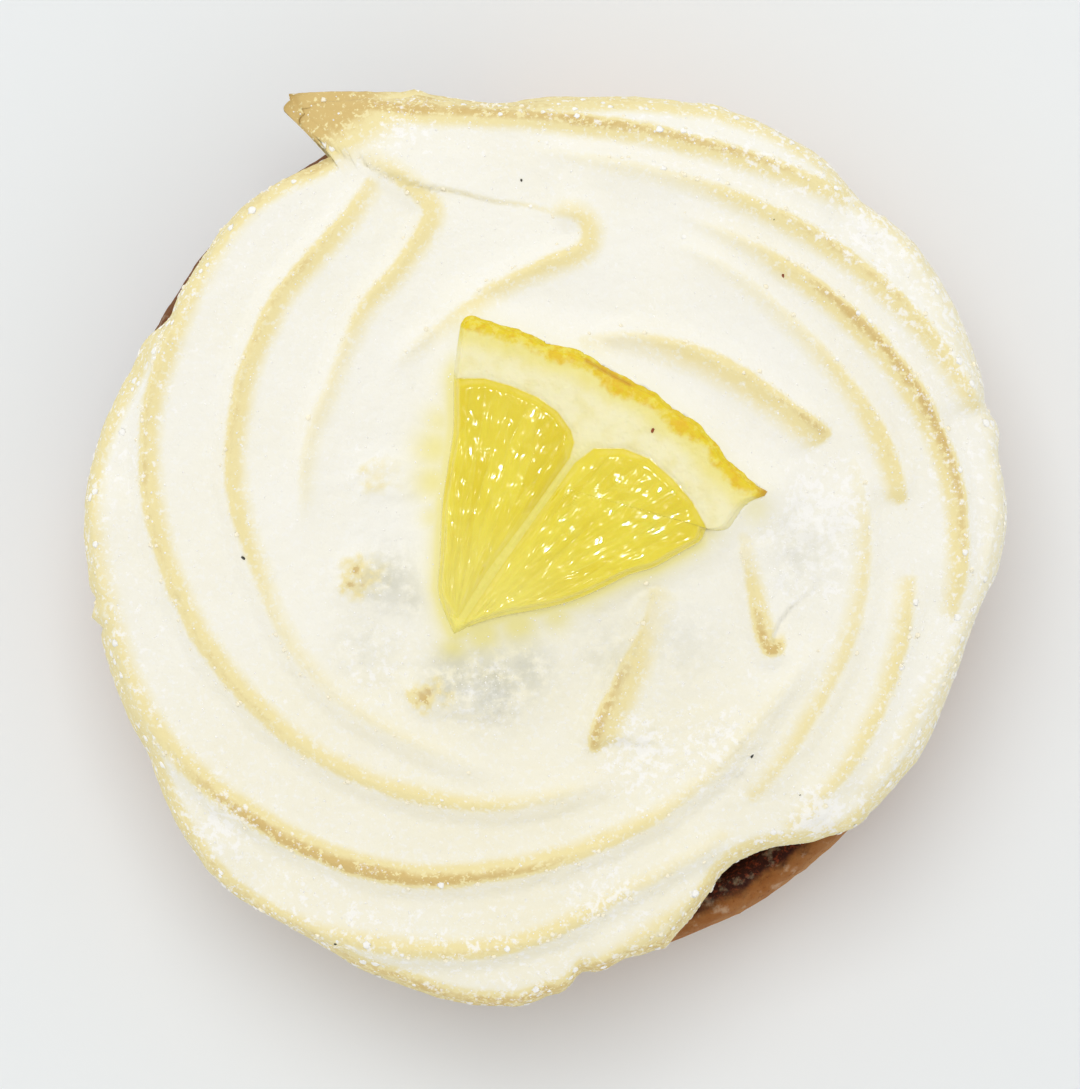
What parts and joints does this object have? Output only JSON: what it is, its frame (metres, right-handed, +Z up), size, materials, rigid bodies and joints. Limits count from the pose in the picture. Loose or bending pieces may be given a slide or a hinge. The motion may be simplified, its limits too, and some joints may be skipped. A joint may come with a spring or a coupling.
{
  "type": "lemon meringue tartlet",
  "caption": "Individual lemon tart: round shortcrust case under a toasted, star-piped meringue swirl with a drawn-out tail, topped with a lemon slice and icing sugar.",
  "frame": {"origin": "centre of the case's flat underside", "axes": "+Z up through the tart, +Y towards the top of the picture, +X towards its right"},
  "size_m": [0.0845, 0.0838, 0.0386],
  "materials": {
    "crust": "baked shortcrust, brown and matt, darker at the rim",
    "meringue": "off-white meringue, matt, toasted golden along its crests, dusted with icing sugar",
    "lemon": "wet yellow flesh, matt pale pith, waxy zest"
  },
  "bodies": {
    "root": {"pastry_case": "crust", "meringue": "meringue", "lemon_slice": "lemon"}
  },
  "joints": []
}
